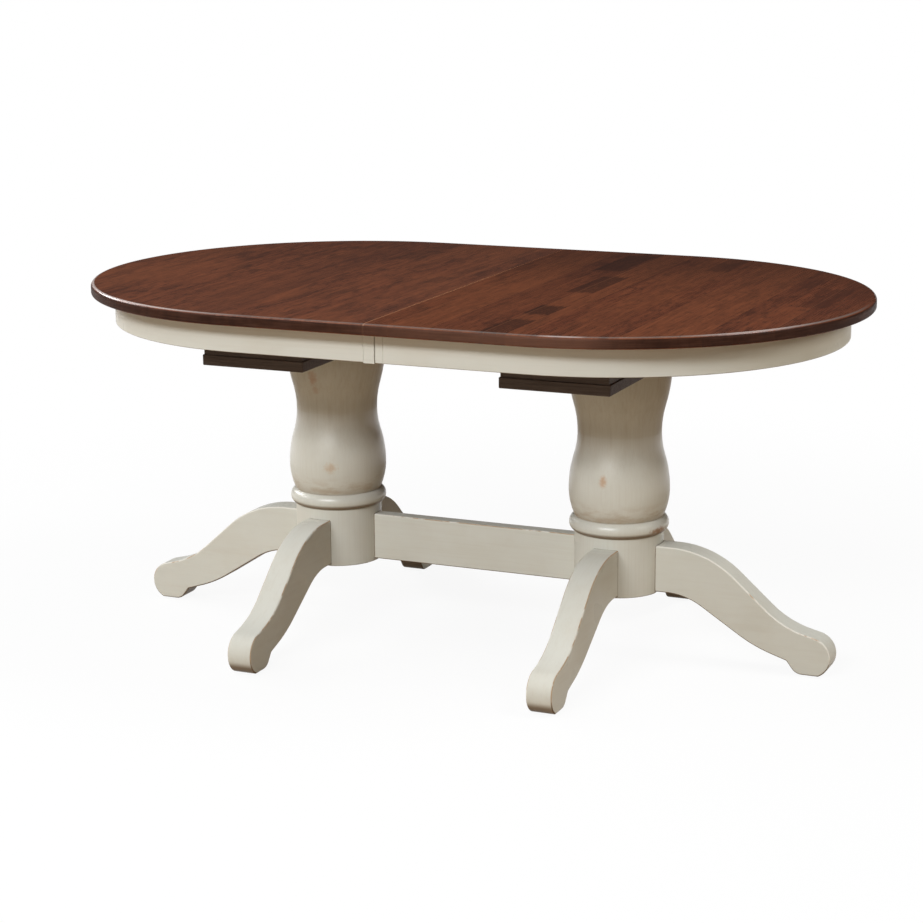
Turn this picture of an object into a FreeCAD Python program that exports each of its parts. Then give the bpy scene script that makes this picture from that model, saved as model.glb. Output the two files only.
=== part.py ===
import FreeCAD, Part
import math
import os

# Double pedestal dining table whose top opens in the middle for leaves.
# Millimetres, +Z up. The origin is on the floor under the middle of the top.
# X runs along the table, and the seam between the two top halves lies across it at X = 0.

# Top
TOP_LENGTH = 1676.0
TOP_WIDTH = 1067.0
TABLE_HEIGHT = 762.0
TOP_THICKNESS = 23.0
TOP_EDGE_ROUND = 8.0
TOP_LOWER_EDGE_ROUND = 4.0
SEAM_EDGE_BREAK = 1.0

# Apron under each half
APRON_SETBACK = 49.0
APRON_HEIGHT = 61.5
APRON_THICKNESS = 20.0
APRON_EDGE_ROUND = 2.0
APRON_SEAM_GAP = 0.75
LEFT_END_BLOCK_LENGTH = 24.0
LEFT_END_BLOCK_DROP = 2.0
RIGHT_END_BLOCK_LENGTH = 18.0
END_BLOCK_EDGE_BREAK = 1.0
GLUE_BLOCK_HEIGHT = 32.0
GLUE_BLOCK_DEPTH = 24.0
GLUE_BLOCK_LENGTH = 70.0
GLUE_BLOCK_ANGLES = (-62.0, -20.0, 20.0, 62.0)
GLUE_BLOCK_SHARE_OF_SIDE = 0.6

# Turned column of each pedestal
PEDESTAL_SPACING = 650.0
HUB_BOTTOM = 139.0
HUB_HEIGHT = 125.0
HUB_RADIUS = 93.0
HUB_EDGE_ROUND = 2.0
BEAD_HEIGHT = 33.0
BEAD_RADIUS = 104.0
VASE_FOOT_RADIUS = 93.0
BELLY_RADIUS = 105.0
BELLY_ABOVE_BEAD = 57.0
NECK_RADIUS = 87.0
NECK_ABOVE_BELLY = 119.0
COLUMN_TOP_RADIUS = 108.0
BELLY_ARC_SHARE = 0.57
NECK_ARC_SHARE = 0.37
CORE_WIDTH = 96.0
CORE_HEIGHT = 118.0

# Legs, measured from the column's axis and from the floor
# The front and back legs stand a little outwards of the axis, by the side leg shift.
LEG_THICKNESS = 54.0
LEG_HEIGHT_AT_HUB = 98.0
LEG_ABOVE_HUB_BOTTOM = 4.5
LEG_REACH = 462.5
SIDE_LEG_SHIFT = 3.0
LEG_EDGE_ROUND = 3.5
TOE_RADIUS = 42.5
TOE_CENTRE_HEIGHT = 40.5
KNEE_REACH = 201.0
KNEE_RADIUS = 203.0
ANKLE_FROM_TOE_CENTRE = 57.0
ANKLE_HEIGHT = 98.0
ANKLE_RADIUS = 190.0
HEEL_FROM_TOE_CENTRE = 29.0
HEEL_RADIUS = 26.0
CREASE_FROM_TOE_CENTRE = 48.5
CREASE_HEIGHT = 28.0
CREASE_RADIUS = 4.0
INSTEP_FROM_TOE_CENTRE = 118.0
INSTEP_HEIGHT = 50.0
INSTEP_RADIUS = 300.0
HOLLOW_REACH = 155.5
HOLLOW_RADIUS = 140.0
GLIDE_RADIUS = 11.0
GLIDE_THICKNESS = 2.0

# Stretcher between the hubs
STRETCHER_THICKNESS = 31.0
STRETCHER_HEIGHT = 100.0
STRETCHER_ABOVE_HUB_BOTTOM = 6.0
STRETCHER_EDGE_ROUND = 3.0

# Hanger bolts that hold legs and stretcher to the hubs
BOLT_RADIUS = 4.0
BOLT_IN_WOOD = 60.0
BOLT_PAST_NUT = 5.0
BOLT_SPACING = 52.0
WASHER_RADIUS = 11.0
WASHER_THICKNESS = 2.0
NUT_ACROSS_FLATS = 13.0
NUT_HEIGHT = 6.5
THREAD_CLEARANCE = 0.25
BOLT_HOLE_CLEARANCE = 0.6

# Boards on top of each column
PLATE_LENGTH = 752.0
PLATE_WIDTH = 228.0
PLATE_THICKNESS = 22.0
PLATE_EDGE_BREAK = 1.5
CLEAT_INSET = 3.0
CLEAT_THICKNESS = 22.0

# Geared extension slides, one set to the front and one to the back
TRAVEL = 305.0
SLIDE_FROM_EDGE = 333.5
RAIL_LENGTH = 900.0
RAIL_WIDTH = 36.0
RAIL_HEIGHT = 66.0
RUNNING_GAP = 5.0
RUNNER_WIDTH = 32.0
RUNNER_FROM_APRON = 46.0
RUNNER_PAST_RACK = 15.0
RUNNER_RELIEF = 2.0
SIDE_CLEARANCE = 0.5
TONGUE_DEPTH = 10.0
TONGUE_NECK = 12.0
TONGUE_TIP = 20.0
TONGUE_ABOVE_CLEAT = 42.0
TONGUE_CLEARANCE = 0.4

# Rack and pinion that keep the two halves in step
GEAR_MODULE = 2.5
PINION_TEETH = 18
PRESSURE_ANGLE = 20.0
BACKLASH = 0.35
ROOT_CLEARANCE = 0.6
GEAR_WIDTH = 10.0
GEAR_ABOVE_CLEAT = 12.0
RACK_BACK = 4.5
AXLE_RADIUS = 5.0
AXLE_HEIGHT = 32.0
AXLE_CLEARANCE = 0.3
SLOT_CLEARANCE = 0.3
SLOT_PAST_TIP = 2.0

# Screws
SCREW_RADIUS = 3.0
SCREW_HEAD_RADIUS = 5.5
SCREW_HEAD_HEIGHT = 4.0
SCREW_CLEARANCE = 0.25
LAG_RADIUS = 4.0
LAG_HEAD_RADIUS = 8.0
LAG_HEAD_HEIGHT = 6.0
LAG_LENGTH_IN_COLUMN = 60.0
LAG_CIRCLE_RADIUS = 72.0
RAIL_SCREW_OFFSET = 60.0
RAIL_SCREW_IN_RAIL = 10.0
CLEAT_SCREW_INSET_X = 44.0
CLEAT_SCREW_INSET_Y = 40.0
CLEAT_SCREW_IN_CLEAT = 16.0
RUNNER_SCREW_IN_TOP = 15.0
RUNNER_SCREW_WEB = 24.0
RUNNER_SCREW_FROM_OUTSIDE = 9.5
RUNNER_SCREW_COUNT = 4
RUNNER_SCREW_FROM_SEAM = 60.0
RUNNER_SCREW_FROM_END = 40.0

# Alignment pins in the seam
PIN_RADIUS = 5.0
PIN_IN_LEFT = 22.0
PIN_IN_RIGHT = 14.0
PIN_FROM_EDGE = 103.5
PIN_FROM_MIDDLE = 120.0
PIN_CLEARANCE = 0.4
PIN_HOLE_EXTRA_DEPTH = 2.0

# Table locks under the seam
LOCK_FROM_APRON = 119.5
LOCK_PIVOT_FROM_SEAM = 24.0
LOCK_STUD_FROM_SEAM = 22.0
LOCK_STUD_RADIUS = 4.0
LOCK_PLATE_THICKNESS = 2.5
LOCK_PLATE_WIDTH = 34.0
LOCK_PLATE_MARGIN = 17.0
LOCK_LEVER_THICKNESS = 4.0
LOCK_LEVER_GAP = 0.4
LOCK_HOOK_WIDTH = 9.0
LOCK_SLOT_CLEARANCE = 0.5
LOCK_HOOK_AHEAD = 14.0
LOCK_HOOK_BEHIND = 26.0
LOCK_HUB_RADIUS = 11.0
LOCK_HANDLE_LENGTH = 62.0
LOCK_HANDLE_WIDTH = 14.0
LOCK_TAB_DROP = 12.0
LOCK_PIVOT_RADIUS = 4.0
LOCK_PIVOT_CLEARANCE = 0.3
LOCK_RIVET_HEAD_RADIUS = 7.0
LOCK_RIVET_HEAD_HEIGHT = 2.0
LOCK_OPEN_ANGLE = 70.0

# Levels and places that follow from the sizes above
TOP_UNDERSIDE = TABLE_HEIGHT - TOP_THICKNESS
CLEAT_TOP = TOP_UNDERSIDE - RAIL_HEIGHT - RUNNING_GAP
PLATE_TOP = CLEAT_TOP - CLEAT_THICKNESS
COLUMN_TOP = PLATE_TOP - PLATE_THICKNESS
BEAD_BOTTOM = HUB_BOTTOM + HUB_HEIGHT
BEAD_TOP = BEAD_BOTTOM + BEAD_HEIGHT
BELLY_LEVEL = BEAD_TOP + BELLY_ABOVE_BEAD
NECK_LEVEL = BELLY_LEVEL + NECK_ABOVE_BELLY
PEDESTAL_X = PEDESTAL_SPACING / 2
END_RADIUS = TOP_WIDTH / 2
END_CENTRE = TOP_LENGTH / 2 - END_RADIUS
APRON_RADIUS = END_RADIUS - APRON_SETBACK
APRON_INNER = APRON_RADIUS - APRON_THICKNESS
PIN_OUTER = END_RADIUS - PIN_FROM_EDGE
PIN_PLACES = (-PIN_OUTER, -PIN_FROM_MIDDLE, PIN_FROM_MIDDLE, PIN_OUTER)
LOCK_Y = APRON_INNER - LOCK_FROM_APRON
LEG_BOTTOM = HUB_BOTTOM + LEG_ABOVE_HUB_BOTTOM
LEG_TOP = LEG_BOTTOM + LEG_HEIGHT_AT_HUB
LEG_SEAT = math.sqrt(HUB_RADIUS ** 2 - (LEG_THICKNESS / 2 + SIDE_LEG_SHIFT) ** 2)
TOE_CENTRE = LEG_REACH - TOE_RADIUS
STRETCHER_BOTTOM = HUB_BOTTOM + STRETCHER_ABOVE_HUB_BOTTOM
STRETCHER_SEAT = math.sqrt(HUB_RADIUS ** 2 - (STRETCHER_THICKNESS / 2) ** 2)
PITCH_RADIUS = GEAR_MODULE * PINION_TEETH / 2
PINION_TIP = PITCH_RADIUS + GEAR_MODULE
PINION_ROOT = PITCH_RADIUS - GEAR_MODULE - ROOT_CLEARANCE
RACK_ROOT = PITCH_RADIUS + GEAR_MODULE + ROOT_CLEARANCE
TOOTH_PITCH = math.pi * GEAR_MODULE
GEAR_BOTTOM = CLEAT_TOP + GEAR_ABOVE_CLEAT
GEAR_TOP = GEAR_BOTTOM + GEAR_WIDTH
RUNNER_BOTTOM = CLEAT_TOP + RUNNING_GAP
SLIDE_Y = END_RADIUS - SLIDE_FROM_EDGE
RUNNER_FACE = RAIL_WIDTH / 2 + SIDE_CLEARANCE
RUNNER_OUTSIDE = SLIDE_Y + RUNNER_FACE + RUNNER_WIDTH
RUNNER_OUTER_END = END_CENTRE + math.sqrt(APRON_INNER ** 2 - RUNNER_OUTSIDE ** 2) - RUNNER_FROM_APRON
RUNNER_SCREW_SPAN = RUNNER_OUTER_END - RUNNER_SCREW_FROM_END - RUNNER_SCREW_FROM_SEAM
RUNNER_SCREW_STEP = RUNNER_SCREW_SPAN / (RUNNER_SCREW_COUNT - 1)
RUNNER_SCREW_PLACES = [RUNNER_SCREW_FROM_SEAM + i * RUNNER_SCREW_STEP for i in range(RUNNER_SCREW_COUNT)]
RACK_TEETH = math.ceil((TRAVEL + 2 * PINION_TIP) / TOOTH_PITCH)
RACK_START = -PINION_TIP
RACK_END = RACK_START + RACK_TEETH * TOOTH_PITCH
RUNNER_INNER_END = RACK_END + RUNNER_PAST_RACK
TONGUE_LEVEL = CLEAT_TOP + TONGUE_ABOVE_CLEAT
LOCK_LEVER_TOP = TOP_UNDERSIDE - LOCK_PLATE_THICKNESS - LOCK_LEVER_GAP
LOCK_LEVER_BOTTOM = LOCK_LEVER_TOP - LOCK_LEVER_THICKNESS

WOOD_SCREW = (SCREW_RADIUS, SCREW_HEAD_RADIUS, SCREW_HEAD_HEIGHT)
LAG_SCREW = (LAG_RADIUS, LAG_HEAD_RADIUS, LAG_HEAD_HEIGHT)
UP = FreeCAD.Vector(0, 0, 1)
SIDES = (("left", -1), ("right", 1))
ENDS = (("front", -1), ("back", 1))


def point(x, y, z):
    return FreeCAD.Vector(x, y, z)


def box(x0, x1, y0, y1, z0, z1):
    return Part.makeBox(x1 - x0, y1 - y0, z1 - z0, point(x0, y0, z0))


def cylinder(radius, x, y, z0, z1):
    return Part.makeCylinder(radius, z1 - z0, point(x, y, z0), UP)


def turned(shape, degrees, x=0.0, y=0.0):
    """A copy turned about the upright line through x, y."""
    copy = shape.copy()
    copy.rotate(point(x, y, 0), UP, degrees)
    return copy


def moved(shape, x=0.0, y=0.0, z=0.0):
    copy = shape.copy()
    copy.translate(point(x, y, z))
    return copy


def line(a, b):
    return Part.LineSegment(a, b).toShape()


def arc(a, middle, b):
    return Part.Arc(a, middle, b).toShape()


def solid_from(edges, direction):
    """Extrudes the closed outline that the edges make."""
    wire = Part.Wire(Part.__sortEdges__(edges))
    return Part.Face(wire).extrude(direction)


def polygon_solid(points, direction):
    corners = list(points) + [points[0]]
    return Part.Face(Part.makePolygon(corners)).extrude(direction)


def rounded_chain(corners):
    """Edges through corners given as (place, radius), with a tangent arc at each inner corner."""
    edges = []
    start = corners[0][0]
    for (before, _), (corner, radius), (after, _) in zip(corners, corners[1:], corners[2:]):
        back = (before - corner).normalize()
        ahead = (after - corner).normalize()
        half_angle = back.getAngle(ahead) / 2
        reach = radius / math.tan(half_angle)
        bisector = (back + ahead).normalize()
        centre = corner + bisector * (radius / math.sin(half_angle))
        entry = corner + back * reach
        leave = corner + ahead * reach
        edges.append(line(start, entry))
        edges.append(arc(entry, centre - bisector * radius, leave))
        start = leave
    edges.append(line(start, corners[-1][0]))
    return edges


def s_curve(start, end, share):
    """Two arcs in the XZ plane that leave start and reach end upright; share is the first arc's part."""
    across = end.x - start.x
    rise = end.z - start.z
    radii = (across ** 2 + rise ** 2) / (2 * abs(across))
    turn = 2 * math.atan2(abs(across), rise)
    side = math.copysign(1.0, across)
    edges = []
    for base, radius, sign in ((start, radii * share, 1), (end, radii * (1 - share), -1)):
        places = [base + point(sign * side * radius * (1 - math.cos(a)), 0, sign * radius * math.sin(a))
                  for a in (0, turn / 2, turn)]
        edges.append(arc(*places))
    return edges


def top_outline(inset, sign, from_seam, z):
    """Half of the table's outline, set in from the edge, from the seam round one end and back."""
    radius = END_RADIUS - inset
    seam = sign * from_seam
    shoulder = sign * END_CENTRE
    tip = sign * (END_CENTRE + radius)
    return [
        line(point(seam, -radius, z), point(shoulder, -radius, z)),
        arc(point(shoulder, -radius, z), point(tip, 0, z), point(shoulder, radius, z)),
        line(point(shoulder, radius, z), point(seam, radius, z)),
    ], point(seam, -radius, z), point(seam, radius, z)


def half_slab(inset, sign, from_seam, z0, z1):
    edges, first, last = top_outline(inset, sign, from_seam, z0)
    return solid_from(edges + [line(last, first)], UP * (z1 - z0))


def edges_at(shape, level, away_from_seam=1.0):
    """Level edges at one height, without the edge along the seam."""
    found = []
    for edge in shape.Edges:
        bounds = edge.BoundBox
        level_edge = abs(bounds.ZMin - level) < 1e-4 and abs(bounds.ZMax - level) < 1e-4
        if level_edge and bounds.DiagonalLength > away_from_seam and bounds.XLength > 1e-4:
            found.append(edge)
    return found


def top_panel(sign):
    panel = half_slab(0, sign, 0, TOP_UNDERSIDE, TABLE_HEIGHT)
    panel = panel.makeFillet(TOP_EDGE_ROUND, edges_at(panel, TABLE_HEIGHT))
    panel = panel.makeFillet(TOP_LOWER_EDGE_ROUND, edges_at(panel, TOP_UNDERSIDE))
    middle = TABLE_HEIGHT - TOP_THICKNESS / 2
    pin_depth = PIN_IN_LEFT if sign < 0 else PIN_IN_RIGHT + PIN_HOLE_EXTRA_DEPTH
    pin_room = THREAD_CLEARANCE if sign < 0 else PIN_CLEARANCE
    holes = [Part.makeCylinder(PIN_RADIUS + pin_room, pin_depth, point(0, y, middle), point(sign, 0, 0))
             for y in PIN_PLACES]
    screw_end = TOP_UNDERSIDE + RUNNER_SCREW_IN_TOP
    holes += [cylinder(SCREW_RADIUS + SCREW_CLEARANCE, x, y, TOP_UNDERSIDE, screw_end)
              for x, y in runner_screw_places(sign)]
    broken_edge = polygon_solid((point(0, -END_RADIUS, TABLE_HEIGHT),
                                 point(sign * SEAM_EDGE_BREAK, -END_RADIUS, TABLE_HEIGHT),
                                 point(0, -END_RADIUS, TABLE_HEIGHT - SEAM_EDGE_BREAK)),
                                point(0, TOP_WIDTH, 0))
    return panel.cut(Part.makeCompound(holes + [broken_edge]))


def apron(sign):
    from_seam = LEFT_END_BLOCK_LENGTH if sign < 0 else RIGHT_END_BLOCK_LENGTH
    low = TOP_UNDERSIDE - APRON_HEIGHT
    outer = half_slab(APRON_SETBACK, sign, from_seam, low, TOP_UNDERSIDE)
    outer = outer.makeFillet(APRON_EDGE_ROUND, edges_at(outer, low))
    return outer.cut(half_slab(APRON_SETBACK + APRON_THICKNESS, sign, 0, low, TOP_UNDERSIDE))


def apron_end_blocks(sign):
    """Upright blocks that close one half's apron at the seam, with broken edges round their faces."""
    length = LEFT_END_BLOCK_LENGTH if sign < 0 else RIGHT_END_BLOCK_LENGTH
    drop = LEFT_END_BLOCK_DROP if sign < 0 else 0.0
    low = TOP_UNDERSIDE - APRON_HEIGHT - drop
    x0, x1 = sorted((sign * APRON_SEAM_GAP, sign * length))
    block = box(x0, x1, APRON_INNER, APRON_RADIUS, low, TOP_UNDERSIDE)
    face_edges = [edge for edge in block.Edges
                  if edge.BoundBox.YMin > APRON_INNER + 1e-4 and edge.BoundBox.ZMin < low + 1e-4]
    block = block.makeChamfer(END_BLOCK_EDGE_BREAK, face_edges)
    return Part.makeCompound([block, block.mirror(point(0, 0, 0), point(0, 1, 0))])


def glue_blocks(sign):
    """Blocks that follow the apron's inner face, up against the top."""
    low = TOP_UNDERSIDE - GLUE_BLOCK_HEIGHT
    ring = cylinder(APRON_INNER, 0, 0, low, TOP_UNDERSIDE)
    ring = ring.cut(cylinder(APRON_INNER - GLUE_BLOCK_DEPTH, 0, 0, low, TOP_UNDERSIDE))
    cutter = box(0, APRON_RADIUS, -GLUE_BLOCK_LENGTH / 2, GLUE_BLOCK_LENGTH / 2, low, TOP_UNDERSIDE)
    piece = ring.common(cutter)
    facing = 0.0 if sign > 0 else 180.0
    blocks = [moved(turned(piece, facing + angle), sign * END_CENTRE) for angle in GLUE_BLOCK_ANGLES]
    middle = END_CENTRE * GLUE_BLOCK_SHARE_OF_SIDE
    for _, way in ENDS:
        y0, y1 = sorted((way * (APRON_INNER - GLUE_BLOCK_DEPTH), way * APRON_INNER))
        x0, x1 = sorted((sign * (middle - GLUE_BLOCK_LENGTH / 2), sign * (middle + GLUE_BLOCK_LENGTH / 2)))
        blocks.append(box(x0, x1, y0, y1, low, TOP_UNDERSIDE))
    return Part.makeCompound(blocks)


def alignment_pins():
    middle = TABLE_HEIGHT - TOP_THICKNESS / 2
    length = PIN_IN_LEFT + PIN_IN_RIGHT
    pins = [Part.makeCylinder(PIN_RADIUS, length, point(-PIN_IN_LEFT, y, middle), point(1, 0, 0))
            for y in PIN_PLACES]
    return Part.makeCompound(pins)


def bolt_levels(bottom, height):
    middle = bottom + height / 2
    return (middle - BOLT_SPACING / 2, middle + BOLT_SPACING / 2)


def hub_joints(side_sign):
    """What is bolted to one hub: direction in degrees, shift in X, seat distance, width and bolt levels."""
    outwards = 0.0 if side_sign > 0 else 180.0
    leg_levels = bolt_levels(LEG_BOTTOM, LEG_HEIGHT_AT_HUB)
    stretcher_levels = bolt_levels(STRETCHER_BOTTOM, STRETCHER_HEIGHT)
    shift = side_sign * SIDE_LEG_SHIFT
    return (
        (outwards, 0.0, LEG_SEAT, LEG_THICKNESS, leg_levels),
        (-90.0, shift, LEG_SEAT, LEG_THICKNESS, leg_levels),
        (90.0, shift, LEG_SEAT, LEG_THICKNESS, leg_levels),
        (outwards + 180.0, 0.0, STRETCHER_SEAT, STRETCHER_THICKNESS, stretcher_levels),
    )


def column(side_sign):
    """Turned column: hub with milled seats, bead, belly, neck and flared top, hollow in the hub."""
    hub_top = point(HUB_RADIUS, 0, BEAD_BOTTOM)
    foot = point(VASE_FOOT_RADIUS, 0, BEAD_TOP)
    belly = point(BELLY_RADIUS, 0, BELLY_LEVEL)
    neck = point(NECK_RADIUS, 0, NECK_LEVEL)
    rim = point(COLUMN_TOP_RADIUS, 0, COLUMN_TOP)
    swell = BELLY_RADIUS - VASE_FOOT_RADIUS
    belly_arc = (BELLY_ABOVE_BEAD ** 2 + swell ** 2) / (2 * swell)
    half_turn = math.atan2(swell, BELLY_ABOVE_BEAD)
    belly_middle = point(BELLY_RADIUS - belly_arc * (1 - math.cos(half_turn)), 0,
                         BELLY_LEVEL - belly_arc * math.sin(half_turn))
    edge = HUB_EDGE_ROUND
    slant = edge * (1 - math.sqrt(0.5))
    edges = [
        line(point(0, 0, HUB_BOTTOM), point(HUB_RADIUS - edge, 0, HUB_BOTTOM)),
        arc(point(HUB_RADIUS - edge, 0, HUB_BOTTOM), point(HUB_RADIUS - slant, 0, HUB_BOTTOM + slant),
            point(HUB_RADIUS, 0, HUB_BOTTOM + edge)),
        line(point(HUB_RADIUS, 0, HUB_BOTTOM + edge), hub_top),
        arc(hub_top, point(BEAD_RADIUS, 0, (BEAD_BOTTOM + BEAD_TOP) / 2), foot),
        arc(foot, belly_middle, belly),
    ]
    edges += s_curve(belly, neck, BELLY_ARC_SHARE) + s_curve(neck, rim, NECK_ARC_SHARE)
    edges += [line(rim, point(0, 0, COLUMN_TOP)), line(point(0, 0, COLUMN_TOP), point(0, 0, HUB_BOTTOM))]
    profile = Part.Face(Part.Wire(Part.__sortEdges__(edges)))
    body = profile.revolve(point(0, 0, 0), UP, 360)
    half_core = CORE_WIDTH / 2
    bolt_room = BOLT_RADIUS + BOLT_HOLE_CLEARANCE
    cuts = [box(-half_core, half_core, -half_core, half_core, HUB_BOTTOM, HUB_BOTTOM + CORE_HEIGHT)]
    for angle, shift, seat, width, levels in hub_joints(side_sign):
        pocket = box(seat, HUB_RADIUS, -width / 2, width / 2, HUB_BOTTOM, BEAD_BOTTOM)
        holes = [Part.makeCylinder(bolt_room, seat, point(0, 0, level), point(1, 0, 0)) for level in levels]
        cuts += [moved(turned(cut, angle), shift) for cut in [pocket] + holes]
    lag_end = COLUMN_TOP - LAG_LENGTH_IN_COLUMN
    for x, y in lag_places():
        cuts.append(cylinder(LAG_RADIUS + SCREW_CLEARANCE, x, y, lag_end, COLUMN_TOP))
    return moved(body.cut(Part.makeCompound(cuts)), side_sign * PEDESTAL_X)


def toe_touch():
    """Place where the line from the ankle touches the toe's circle from above."""
    ankle = point(TOE_CENTRE - ANKLE_FROM_TOE_CENTRE, 0, ANKLE_HEIGHT)
    to_ankle = ankle - point(TOE_CENTRE, 0, TOE_CENTRE_HEIGHT)
    towards = math.atan2(to_ankle.z, to_ankle.x)
    touch = towards - math.acos(TOE_RADIUS / to_ankle.Length)
    return ankle, touch


def leg():
    """One S-curved leg along +X from the column's axis, with rounded edges and a flat under the foot."""
    floor = GLIDE_THICKNESS
    ankle, touch = toe_touch()
    toe = point(TOE_CENTRE, 0, TOE_CENTRE_HEIGHT)
    landing = -math.asin((TOE_CENTRE_HEIGHT - floor) / TOE_RADIUS)
    on_toe = [toe + point(TOE_RADIUS * math.cos(a), 0, TOE_RADIUS * math.sin(a))
              for a in (touch, (touch + landing) / 2, landing)]
    upper = rounded_chain((
        (point(LEG_SEAT, 0, LEG_TOP), 0),
        (point(KNEE_REACH, 0, LEG_TOP), KNEE_RADIUS),
        (ankle, ANKLE_RADIUS),
        (on_toe[0], 0),
    ))
    lower = rounded_chain((
        (on_toe[2], 0),
        (point(TOE_CENTRE - HEEL_FROM_TOE_CENTRE, 0, floor), HEEL_RADIUS),
        (point(TOE_CENTRE - CREASE_FROM_TOE_CENTRE, 0, CREASE_HEIGHT), CREASE_RADIUS),
        (point(TOE_CENTRE - INSTEP_FROM_TOE_CENTRE, 0, INSTEP_HEIGHT), INSTEP_RADIUS),
        (point(HOLLOW_REACH, 0, LEG_BOTTOM), HOLLOW_RADIUS),
        (point(LEG_SEAT, 0, LEG_BOTTOM), 0),
    ))
    seat = line(point(LEG_SEAT, 0, LEG_BOTTOM), point(LEG_SEAT, 0, LEG_TOP))
    body = solid_from(upper + [arc(*on_toe)] + lower + [seat], point(0, LEG_THICKNESS, 0))
    body.translate(point(0, -LEG_THICKNESS / 2, 0))
    rounded = [e for e in body.Edges if e.BoundBox.YLength < 1e-4 and e.BoundBox.XLength > 1e-4]
    body = body.makeFillet(LEG_EDGE_ROUND, rounded)
    radius = BOLT_RADIUS + THREAD_CLEARANCE
    holes = [Part.makeCylinder(radius, BOLT_IN_WOOD, point(LEG_SEAT, 0, level), point(1, 0, 0))
             for level in bolt_levels(LEG_BOTTOM, LEG_HEIGHT_AT_HUB)]
    return body.cut(Part.makeCompound(holes))


def leg_places(side, side_sign):
    """Node names of one pedestal's legs, with the direction that each points in and its place along X."""
    outwards = 0.0 if side_sign > 0 else 180.0
    end_x = side_sign * PEDESTAL_X
    side_x = end_x + side_sign * SIDE_LEG_SHIFT
    return ((side + "_end_leg", outwards, end_x), (side + "_front_leg", -90.0, side_x),
            (side + "_back_leg", 90.0, side_x))


def glide_centre():
    """Middle of the flat under the foot, measured from the column's axis."""
    heel = point(TOE_CENTRE - HEEL_FROM_TOE_CENTRE, 0, GLIDE_THICKNESS)
    crease = point(TOE_CENTRE - CREASE_FROM_TOE_CENTRE, 0, CREASE_HEIGHT)
    half_angle = (crease - heel).getAngle(point(1, 0, 0)) / 2
    flat_start = heel.x + HEEL_RADIUS / math.tan(half_angle)
    flat_end = TOE_CENTRE + math.sqrt(TOE_RADIUS ** 2 - (TOE_CENTRE_HEIGHT - GLIDE_THICKNESS) ** 2)
    return (flat_start + flat_end) / 2


def floor_glides():
    glides = []
    for side, side_sign in SIDES:
        for _, angle, x in leg_places(side, side_sign):
            glide = cylinder(GLIDE_RADIUS, glide_centre(), 0, 0, GLIDE_THICKNESS)
            glides.append(moved(turned(glide, angle), x))
    return Part.makeCompound(glides)


def stretcher():
    half = PEDESTAL_X - STRETCHER_SEAT
    half_width = STRETCHER_THICKNESS / 2
    bar = box(-half, half, -half_width, half_width, STRETCHER_BOTTOM, STRETCHER_BOTTOM + STRETCHER_HEIGHT)
    long_edges = [e for e in bar.Edges if e.BoundBox.XLength > half]
    bar = bar.makeFillet(STRETCHER_EDGE_ROUND, long_edges)
    holes = [Part.makeCylinder(BOLT_RADIUS + THREAD_CLEARANCE, BOLT_IN_WOOD, point(sign * half, 0, level),
                               point(-sign, 0, 0))
             for _, sign in SIDES for level in bolt_levels(STRETCHER_BOTTOM, STRETCHER_HEIGHT)]
    return bar.cut(Part.makeCompound(holes))


def hub_fasteners(side_sign):
    """Hanger bolts, washers and nuts of one hub. The washers bear on the flat walls of the core."""
    inner = CORE_WIDTH / 2
    washer_end = inner - WASHER_THICKNESS
    nut_end = washer_end - NUT_HEIGHT
    along = point(1, 0, 0)
    corner = NUT_ACROSS_FLATS / math.sqrt(3)
    hole_radius = BOLT_RADIUS + THREAD_CLEARANCE
    bolts, washers, nuts = [], [], []
    for angle, shift, seat, _, levels in hub_joints(side_sign):
        for level in levels:
            start = nut_end - BOLT_PAST_NUT
            bolt = Part.makeCylinder(BOLT_RADIUS, seat + BOLT_IN_WOOD - start, point(start, 0, level), along)
            hole = Part.makeCylinder(hole_radius, inner - nut_end, point(nut_end, 0, level), along)
            washer = Part.makeCylinder(WASHER_RADIUS, WASHER_THICKNESS, point(washer_end, 0, level), along)
            hexagon = [point(nut_end, corner * math.cos(math.radians(60 * i)),
                             level + corner * math.sin(math.radians(60 * i))) for i in range(6)]
            nut = polygon_solid(hexagon, along * NUT_HEIGHT)
            for group, piece in ((bolts, bolt), (washers, washer.cut(hole)), (nuts, nut.cut(hole))):
                group.append(moved(turned(piece, angle), side_sign * PEDESTAL_X + shift))
    return [Part.makeCompound(group) for group in (bolts, washers, nuts)]


def lag_places():
    """Places of the screws from plate to column, about the column's axis."""
    return [(LAG_CIRCLE_RADIUS * math.cos(a), LAG_CIRCLE_RADIUS * math.sin(a))
            for a in (math.radians(45 + 90 * i) for i in range(4))]


def rail_screw_places():
    """Places of the rail screws on one pedestal, about the column's axis."""
    return [(x, way * SLIDE_Y) for _, way in ENDS for x in (-RAIL_SCREW_OFFSET, RAIL_SCREW_OFFSET)]


def cleat_screw_places():
    x = PLATE_WIDTH / 2 - CLEAT_SCREW_INSET_X
    y = PLATE_LENGTH / 2 - CLEAT_SCREW_INSET_Y
    return [(a * x, b * y) for a in (-1, 1) for b in (-1, 1)]


def screw(kind, x, y, head_level, tip_level, room=0.0):
    """Screw of one kind between two levels, up or down, or the hole for it where it is given room."""
    radius, head_radius, head_height = kind
    way = 1 if tip_level > head_level else -1
    length = abs(tip_level - head_level)
    shank = Part.makeCylinder(radius + room, length, point(x, y, head_level), UP * way)
    head = Part.makeCylinder(head_radius + room, head_height, point(x, y, head_level), UP * way)
    return head.fuse(shank).removeSplitter()


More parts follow.
